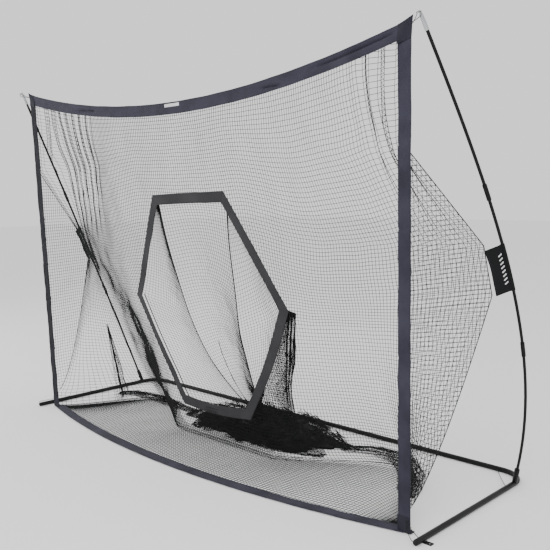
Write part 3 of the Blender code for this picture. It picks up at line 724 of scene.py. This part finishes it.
def along(line, v):
    here = min(max(v, 0), 1) * (len(line) - 1)
    k = min(int(here), len(line) - 2)
    return line[k].lerp(line[k + 1], here - k)


def panelPlace(first, last, bow):
    # a panel between two edges, each given as a function of v, that bows out by (x, y, z)
    def place(u, v):
        point = first(v).lerp(last(v), u)
        arch = math.sin(math.pi * u) * math.sin(math.pi * min(v, 0.985)) ** 0.7
        swell = 0.014 * arch * ripple(point.x, point.y, point.z, 5, 9) + 0.004 * arch * ripple(*point, 21, 3)
        return point + Vector(bow) * arch + Vector((0.5 * swell, swell, 0))
    return place


seams = {"left": behindMouth(leftSeam, 60), "right": behindMouth(rightSeam, 60)}
# the doubled slack that hangs out beyond the hexagon's lower right side
slackEdge = [(0.632, 0.150, 0.830), (0.545, 0.205, 0.655), (0.480, 0.280, 0.446), (0.440, 0.340, 0.289),
             (0.420, 0.410, 0.080)]
pocketPanels = {
    "pocket_middle_panel": (lambda v: along(seams["left"], v), lambda v: along(seams["right"], v),
                            (0.010, 0.030, 0.055), 26, 76),
    "pocket_left_panel": (lambda v: along(seams["left"], v), lambda v: hemPoint(5 / 6 - v * 2 / 6),
                          (-0.010, 0.045, 0.0), 20, 70),
    "pocket_right_panel": (lambda v: along(seams["right"], v), lambda v: hemPoint(v * 2 / 6),
                           (0.015, 0.050, 0.0), 22, 70),
    "pocket_lower_panel": (lambda v: hemPoint(3 / 6).lerp(seams["left"][-1], v),
                           lambda v: hemPoint(2 / 6).lerp(seams["right"][-1], v), (0, 0, -0.045), 30, 26),
}
outerSlack = behindMouth(slackEdge, 60)
for layer in (1, 2, 3):
    pocketPanels[f"pocket_slack_{layer}"] = (
        lambda v: hemPoint((1 + v) / 6) + Vector((0, 0.020, 0)),
        lambda v, layer=layer: along(outerSlack, v) + Vector((0.004 * layer * math.sin(7 * v),
                                                              0.020 * layer - 0.02, 0)),
        (0.010, 0.020 * layer, 0.01 * layer), 18 + 3 * layer, 56)
for name, (first, last, bow, columns, rows) in pocketPanels.items():
    piece = netPiece(name, columns, rows, panelPlace(first, last, bow), (0.6, 1.2), pocket["twine"], netTwine)
    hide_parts("pocket_net")
    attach(piece, "frame")
seamLines = {
    "pocket_seam_1": (seams["left"], 1), "pocket_seam_2": (seams["right"], 1.15),
    "pocket_seam_3": (behindMouth([(-0.165, 0.375, 0.560), (-0.172, 0.420, 0.450), (-0.150, 0.500, 0.270),
                                   (-0.090, 0.590, 0.095)], 40), 0.7),
    "pocket_seam_4": ([hemPoint(4 / 6 - i / 40 / 6) + Vector((0.010, 0.012, 0.004)) for i in range(41)], 1),
}
for name, (line, thick) in seamLines.items():
    piece = tubePiece(name, line, pocket["seamRadius"] * thick, heapTwine, 1)
    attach(piece, "frame")
print("pocket hung")

# ---- spare netting in a heap below the pocket
heap = {"centre": (-0.020, 0.600), "halfLength": 0.600, "halfDepth": 0.285, "height": 0.125, "layers": 3,
        "columns": 96, "rows": 46, "twine": 0.0024}


def heapHeight(x, y):
    reach = min(1, x * x + y * y)
    lumps = 0.74 + 0.50 * ripple(x * 2.3, y * 1.6, 0, 1.4, 6) + 0.34 * ripple(x, y, 0, 4.5, 8)
    slope = (1 - reach) ** 0.42 * (0.80 + 0.30 * y)
    return heap["height"] * slope * max(lumps + 0.16 * ripple(x, y, 0, 12, 2), 0.12)


def overHeap(x, y, shift, z):
    # x and y in halves of the heap's length and depth
    return Vector((heap["centre"][0] + heap["halfLength"] * x + shift,
                   shape["frontY"] + heap["centre"][1] + heap["halfDepth"] * y + shift, z))


def heapPlace(layer):
    def place(u, v):
        x, y = 2 * u - 1, 2 * v - 1
        crumple = abs(ripple(x * 2.2, y, layer, 5, 4)) * 2.6
        level = 1 - 0.20 * layer
        z = heapHeight(x, y) * level * (0.72 + 0.40 * min(crumple, 1)) + 0.012 * ripple(x, y, layer, 16, 3)
        shift = 0.022 * ripple(x, y, layer, 5, 12 + layer) + 0.008 * ripple(x, y, layer, 21, 5)
        return overHeap(x, y, shift, max(z, 0.0025))
    return place


def offHeap(centre):
    x = (centre.x - heap["centre"][0]) / heap["halfLength"]
    y = (centre.y - shape["frontY"] - heap["centre"][1]) / heap["halfDepth"]
    return x * x + y * y > 0.94 + 0.46 * ripple(x, y, 0, 2.7, 2) + 0.24 * ripple(x, y, 0, 9, 7)


for layer in range(heap["layers"]):
    piece = netPiece(f"pocket_heap_layer_{layer + 1}", heap["columns"], heap["rows"], heapPlace(layer),
                     (1.1, 0.55), heap["twine"], heapTwine, offHeap)
    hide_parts("pocket_heap")
    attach(piece, "frame")
bpy.ops.object.select_all(action="DESELECT")
bpy.ops.mesh.primitive_ico_sphere_add(subdivisions=6, radius=1)
core = rename(bpy.context.object, "pocket_heap_core")
for vert in core.data.vertices:
    x, y, z = vert.co
    spread = 0.88 + 0.30 * ripple(x, y, 0, 1.9, 2) + 0.10 * ripple(x, y, 0, 7, 7)
    rise = heapHeight(x * 0.99, y * 0.99) * 0.80 + 0.010 * ripple(x, y, z, 12, 5)
    vert.co = overHeap(spread * x, spread * y, 0, max(rise * z ** 0.5, 0.002) if z > 0 else 0.001)
core.data.materials.append(heapTwine)
shadeSoft(core, 70)
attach(core, "frame")
print("heap laid")

# ---- sewn bands round the mouth
bands = {"thickness": 0.0026, "wrinkle": 0.0035, "stitchPitch": 0.0085, "stitchLength": 0.0056,
         "stitchRadius": 0.00042, "hem": 0.006}


def creaseDepth(distance, width):
    return math.exp(-(distance / width) ** 2)


topCreases = [(0.92, 0.006, 1.43, 0.004), (0.62, 0.010, 0.80, 0.03), (-0.95, 0.02, -0.70, 0.01)]


def topPlace(u, v):
    x = (2 * u - 1) * (shape["cornerX"] - 0.030)
    z = topEdgeZ(x) - shape["bandWidth"] * (1 - v)
    loose = bands["wrinkle"] * (ripple(x, 0, z, 5, 3) + 0.5 * ripple(x, 0, z, 17, 8))
    drop = topEdgeZ(x) - z
    for x1, d1, x2, d2 in topCreases:
        share = (x - x1) / (x2 - x1)
        if -0.2 < share < 1.2:
            away = drop - (d1 + (d2 - d1) * share) - 0.020
            loose += 0.011 * creaseDepth(away, 0.0055) * ease(share * 3) * ease((1 - share) * 5)
    scallop = 0.0012 * ripple(x, 0, 0, 9, 2)
    return Vector((x, mouthY(shape["cornerZ"]) + loose, z + scallop))


def sidePlace(side):
    creases = [(0.42, 0.25), (0.74, -0.5), (0.98, 0.15), (1.13, -0.7), (1.28, 0.1), (1.62, 0.5)]

    def place(u, v):
        z = 0.040 + (shape["cornerZ"] - 0.090) * v
        x = sideX(z) - shape["bandWidth"] * u
        loose = bands["wrinkle"] * (ripple(x, 0, z, 6, 4 + side) + 0.6 * ripple(x * 3, 0, z, 15, 9))
        for height, slope in creases:
            loose += 0.0042 * creaseDepth(z - height - slope * (x - 1.42), 0.0075) * (0.4 + 0.6 * u)
        x += 0.0016 * ripple(0, 0, z, 8, 5)
        return Vector((side * x, mouthY(z) + loose, z))
    return place


def floorBandPlace(u, v):
    x = (2 * u - 1) * (shape["lowerCornerX"] - 0.030)
    y = floorEdgeY(x) + shape["bandWidth"] * v
    loose = 0.0022 * (1 + ripple(x, y, 0, 6, 2)) + 0.0016 * (1 + ripple(x, y, 0, 19, 6))
    return Vector((x, y, 0.0018 + loose))


def stitchesAlong(name, place, lines, length, lift, material, body):
    # a running stitch on one face of a cloth along each line (u, v) -> (u, v)
    bpy.ops.object.select_all(action="DESELECT")
    bpy.ops.mesh.primitive_cylinder_add(vertices=6, radius=bands["stitchRadius"], depth=bands["stitchLength"])
    template = bpy.context.object
    places = []
    for (u1, v1), (u2, v2), share in lines:
        count = max(2, int(length * share / bands["stitchPitch"]))
        for i in range(count):
            t = (i + 0.5) / count
            step = 0.3 / count
            a = place(u1 + (u2 - u1) * (t - step), v1 + (v2 - v1) * (t - step))
            b = place(u1 + (u2 - u1) * (t + step), v1 + (v2 - v1) * (t + step))
            turn = (b - a).to_track_quat("Z", "Y").to_matrix().to_4x4()
            places.append(Matrix.Translation((a + b) / 2 + Vector(lift)) @ turn)
    piece = copiesOf(name, template, places, material)
    bpy.data.objects.remove(template, do_unlink=True)
    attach(piece, body)


def edgeLines(inset):
    return [((0.01, inset), (0.99, inset), 1), ((0.01, 1 - inset), (0.99, 1 - inset), 1)]


def uprightLines(inset):
    return [((inset, 0.02), (inset, 0.97), 1), ((1 - inset, 0.02), (1 - inset, 0.97), 1)]


topLength, sideLength, floorLength = 2.92, 2.0, 2.88
half = bands["thickness"] / 2 + 0.0001
piece = clothPiece("top_band_cloth", 300, 10, topPlace, (topLength, shape["bandWidth"]), bands["thickness"],
                   bandCloth)
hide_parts("top_band")
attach(piece, "frame")
hem = bands["hem"] / shape["bandWidth"]
faces = (("band_stitches", -half), ("band_back_stitches", half))
for name, lift in faces:
    stitchesAlong(f"top_{name}", topPlace, edgeLines(hem), topLength, (0, lift, 0), bandThread, "frame")

for side, hand in hands:
    # the left side band wears the darkened band cloth, a painted shade; the right one wears the plain band
    # cloth
    piece = clothPiece(f"{hand}_band_cloth", 10, 230, sidePlace(side), (shape["bandWidth"], sideLength),
                       bands["thickness"], bandCloth if side > 0 else leftBandPaintedShadeCloth)
    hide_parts(f"{hand}_band")
    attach(piece, "frame")
    for name, lift in faces:
        stitchesAlong(f"{hand}_{name}", sidePlace(side), uprightLines(hem), sideLength, (0, lift, 0),
                      bandThread, "frame")

piece = clothPiece("bottom_band_cloth", 300, 10, floorBandPlace, (floorLength, shape["bandWidth"]),
                   bands["thickness"] * 0.8, bandCloth)
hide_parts("bottom_band")
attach(piece, "frame")
stitchesAlong("bottom_band_stitches", floorBandPlace, edgeLines(hem), floorLength, (0, 0, half * 0.85),
              bandThread, "frame")
print("bands sewn")

# ---- hexagon band and its stitches
hexagonInner = 1 - hexagon["band"] / hexagon["halfHeight"]


def hexagonPlace(u, v):
    (x1, z1), (x2, z2) = hexagonEdge(-u, 1), hexagonEdge(-u, hexagonInner)
    x, z = x1 + (x2 - x1) * v, z1 + (z2 - z1) * v
    return Vector((x, netY(x, z) - 0.0052 + 0.0022 * ripple(x, 0, z, 9, 4), z))


hexagonLength = 6 * 0.64
piece = clothPiece("hexagon_band_cloth", 240, 6, hexagonPlace, (hexagonLength, hexagon["band"]), 0.0024,
                   hexagonCloth)
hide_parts("hexagon_band")
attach(piece, "frame")
stitchesAlong("hexagon_band_stitches", hexagonPlace, edgeLines(0.12), hexagonLength, (0, -0.0014, 0),
              bandThread, "frame")
print("hexagon sewn")


# ---- corner patches
def upperCornerPlace(side):
    # the top band turns down into the side band, and its outer corner is drawn out to a point by the loop
    def place(u, v):
        ear = (1 - u) ** 2.5 * v ** 2.5
        x = shape["cornerX"] + 0.001 - (shape["bandWidth"] + 0.003) * u
        z = topEdgeZ(x) + 0.0012 - 0.074 * (1 - v)
        fold = 0.0026 * math.sin(4 * (u + v)) + 0.0016 * ripple(x, 0, z, 22, 3)
        return Vector((side * (x + 0.010 * ear), mouthY(shape["cornerZ"]) - 0.0008 + fold, z + 0.010 * ear))
    return place


def lowerCornerPlace(side):
    def place(u, v):
        run = 0.104 * v
        z = 0.0035 + max(0, run - 0.034)
        back = max(0, 0.034 - run)
        x = shape["lowerCornerX"] + 0.001 - (shape["bandWidth"] + 0.003) * u
        bulge = 0.0018 * ripple(x, back, z, 20, 5)
        return Vector((side * x, mouthY(z) - 0.001 + back + bulge, z + 0.4 * abs(bulge)))
    return place


# a stitched square with its two diagonals
crossLines = [((0.12, 0.12), (0.88, 0.12), 1), ((0.88, 0.12), (0.88, 0.88), 1),
              ((0.88, 0.88), (0.12, 0.88), 1), ((0.12, 0.88), (0.12, 0.12), 1),
              ((0.12, 0.12), (0.88, 0.88), 1.3), ((0.12, 0.88), (0.88, 0.12), 1.3)]
for side, hand in hands:
    piece = clothPiece(f"{hand}_upper_corner_cloth", 16, 18, upperCornerPlace(side), (0.066, 0.076), 0.0038,
                       cornerCloth)
    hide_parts(f"{hand}_upper_corner")
    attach(piece, "frame")
    stitchesAlong(f"{hand}_upper_corner_stitches", upperCornerPlace(side), crossLines, 0.05, (0, -0.0021, 0),
                  bandThread, "frame")
    piece = clothPiece(f"{hand}_lower_corner_cloth", 14, 24, lowerCornerPlace(side), (0.065, 0.104), 0.0036,
                       cornerCloth)
    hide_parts(f"{hand}_lower_corner")
    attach(piece, "frame")
print("corners sewn")


# ---- tabs that draw the netting back to the poles
def tabRows(side, count):
    rows = []
    for i in range(count):
        s = tab["start"] + tab["height"] * i / (count - 1)
        tangent = poleDirection(side, s)
        out = Vector((-side * 0.6, -0.8, 0))
        out = (out - tangent * out.dot(tangent)).normalized()
        rows.append((polePoint(side, s), out, tangent.cross(out)))
    return rows


def tabSection():
    angles = [math.radians(35 + 290 * i / 20) for i in range(21)]
    wrap = [(tab["wrapRadius"] * math.cos(a), tab["wrapRadius"] * math.sin(a)) for a in angles]
    flat = [tab["width"] - (tab["width"] - 0.016) * i / 10 for i in range(11)]
    return [(reach, 0.0013) for reach in flat] + wrap + [(reach, -0.0013) for reach in reversed(flat)]


def tabPlace(rows, section):
    def place(u, v):
        here = v * (len(rows) - 1)
        k = min(int(here), len(rows) - 2)
        share = here - k
        centre, out, across = (rows[k][i].lerp(rows[k + 1][i], share) for i in range(3))
        reach, rise = section[round(u * (len(section) - 1))]
        bend = 0.0024 * math.sin(9 * v + 2) * ease((reach - 0.015) / 0.06)
        scoop = 0.004 * math.sin(math.pi * v) * ease((reach - 0.03) / 0.06)
        return centre + out * (reach - scoop) + across * (rise + bend)
    return place


for side, hand in hands:
    rows, section = tabRows(side, 23), tabSection()
    place = tabPlace(rows, section)
    piece = clothPiece(f"{hand}_side_tab_cloth", len(section) - 1, 30, place,
                       (tab["flatWidth"], tab["height"]), tab["cloth"], tabCloth)
    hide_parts(f"{hand}_side_tab")
    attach(piece, f"{hand}_pole")
    last = len(section) - 1
    lines = [((i / last, 0.03), (i / last, 0.97), 1) for i in (1, 9, last - 9, last - 1)]
    lift = rows[11][2] * 0.0009
    stitchesAlong(f"{hand}_tab_stitches", place, lines[:2], tab["height"], lift, bandThread, f"{hand}_pole")
    stitchesAlong(f"{hand}_tab_back_stitches", place, lines[2:], tab["height"], -lift, bandThread,
                  f"{hand}_pole")
    # a plain mark of slanted bars where such a tab carries its printing
    for face, mark in ((1, "front"), (-1, "back")):
        bpy.ops.object.select_all(action="DESELECT")
        bpy.ops.mesh.primitive_cube_add(size=1)
        bar = bpy.context.object
        bar.scale = (tab["barLength"], tab["barWidth"], 0.0005)
        bpy.ops.object.transform_apply(location=False, rotation=False, scale=True)
        finishWith(bar, "BEVEL", width=0.0002, segments=1)
        places = []
        for i in range(tab["bars"]):
            v = 0.5 + (i - (tab["bars"] - 1) / 2) * tab["barPitch"] / tab["height"]
            column = (9 if face > 0 else last - 9) / last
            centre = place(column, v)
            up = (place(column, v + 0.02) - place(column, v - 0.02)).normalized()
            outward = rows[11][2] * face
            sideways = up.cross(outward).normalized()
            turn = Matrix((sideways, outward.cross(sideways), outward)).transposed().to_4x4()
            slant = Matrix.Rotation(math.radians(28 * face), 4, "Z")
            places.append(Matrix.Translation(centre + outward * 0.0008) @ turn @ slant)
        piece = copiesOf(f"{hand}_tab_{mark}_mark", bar, places, paleThread)
        bpy.data.objects.remove(bar, do_unlink=True)
        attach(piece, f"{hand}_pole")
print("tabs sewn")

# ---- blank woven label on the top band
label = {"left": -0.057, "width": 0.121, "height": 0.016, "drop": 0.024}


def labelPlace(u, v):
    x = label["left"] + label["width"] * u
    z = topEdgeZ(x) - label["drop"] + label["height"] * v
    base = topPlace(0.5 + x / (2 * (shape["cornerX"] - 0.030)), 1 - (topEdgeZ(x) - z) / shape["bandWidth"])
    return Vector((x, base.y - half - 0.0006, z))


piece = clothPiece("top_band_label", 24, 6, labelPlace, (label["width"], label["height"]), 0.0007, labelCloth)
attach(piece, "frame")

# ---- leaf springs under the snap buttons, which give as the buttons are pressed
spring = {"buttonX": 0.472, "width": 0.006, "thickness": 0.0006, "keep": 0.78,
          "bend": [(0.004, 0.0055), (-0.012, 0.0032), (-0.022, 0.0005), (-0.0255, -0.0022), (-0.022, -0.0052),
                   (-0.012, -0.0074), (0.004, -0.0086)]}
for side, hand in hands:
    foot = Vector((side * spring["buttonX"], shape["frontY"] + shape["depth"], shape["tubeRadius"]))
    bend = smoothRoute([(side * x, 0, z) for x, z in spring["bend"]], 33)

    def springPlace(u, v, foot=foot, bend=bend):
        return foot + bend[round(u * 32)] + Vector((0, (v - 0.5) * spring["width"], 0))

    piece = gridPiece(f"{hand}_leaf_spring", 32, 4, springPlace, (0.06, spring["width"]))
    piece.data.materials.append(zincPlate)
    finishWith(piece, "SOLIDIFY", thickness=spring["thickness"], offset=0)
    shadeSoft(piece, 50)
    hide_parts(f"{hand}_button_spring")
    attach(piece, "frame")
    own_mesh(piece)
print("springs set")

# ---- elastic cords and loops
tipNeck = pole["length"] - 0.008
cordHeight = 0.0167


def tipPlace(side, inward, forward, along):
    axis = poleDirection(side, pole["length"])
    square = Vector((0, -axis.z, axis.y)).normalized()
    across = square.cross(axis) * side
    return polePoint(side, tipNeck) + across * inward + square * forward + axis * along


for side, hand in hands:
    railEnd = Vector((side * (shape["halfWidth"] - 0.150), shape["frontY"] + shape["depth"] - 0.0147,
                      cordHeight))
    legEnd = Vector((side * (shape["halfWidth"] - 0.0147), shape["frontY"] + shape["legJoint"] + 0.030,
                     cordHeight))
    route = [railEnd.lerp(legEnd, i / 30) + Vector((0, 0, -0.006 * math.sin(math.pi * i / 30)))
             for i in range(31)]
    piece = tubePiece(f"{hand}_corner_elastic", route, 0.0015, elastic)
    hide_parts(f"{hand}_corner_cord")
    routeLength(route)
    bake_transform(piece)

    corner = Vector((side * (shape["cornerX"] + 0.003), mouthY(shape["cornerZ"]), shape["cornerZ"] - 0.020))
    overHook = [(0.0101, 0.0115, -0.004), (0.0085, 0.0105, 0.0034), (0.0, 0.0102, 0.0056),
                (-0.0085, 0.0105, 0.0034), (-0.0101, 0.0125, -0.004), (-0.004, 0.0165, -0.013)]
    route = smoothRoute([corner + Vector((0, 0.005, 0)), *(tipPlace(side, *point) for point in overHook),
                         corner + Vector((0, -0.005, 0))], 40)
    piece = tubePiece(f"{hand}_upper_elastic", route, 0.0013, elastic)
    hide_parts(f"{hand}_upper_loop")
    routeLength(route)
    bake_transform(piece)

    hole = Vector((side * shape["halfWidth"], shape["frontY"] - shape["legTip"] - 0.0085, cordHeight))
    start = Vector((side * (shape["lowerCornerX"] - 0.009), shape["frontY"] - 0.0055, 0.045))
    route = smoothRoute([
        start, start + Vector((side * 0.006, -0.020, -0.010)), hole - Vector((side * 0.022, -0.003, 0)),
        hole - Vector((side * 0.010, 0, 0)), hole + Vector((side * 0.014, 0, 0)),
        hole + Vector((side * 0.020, 0.004, 0.006)), hole + Vector((side * 0.014, 0.010, 0.013)),
        hole + Vector((-side * 0.012, 0.020, 0.020)), start + Vector((side * 0.002, -0.014, 0.010)),
        start + Vector((0, 0, 0.012))], 60)
    piece = tubePiece(f"{hand}_lower_elastic", route, 0.0015, elastic)
    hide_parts(f"{hand}_lower_loop")
    routeLength(route)
    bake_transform(piece)
print("elastics tied")
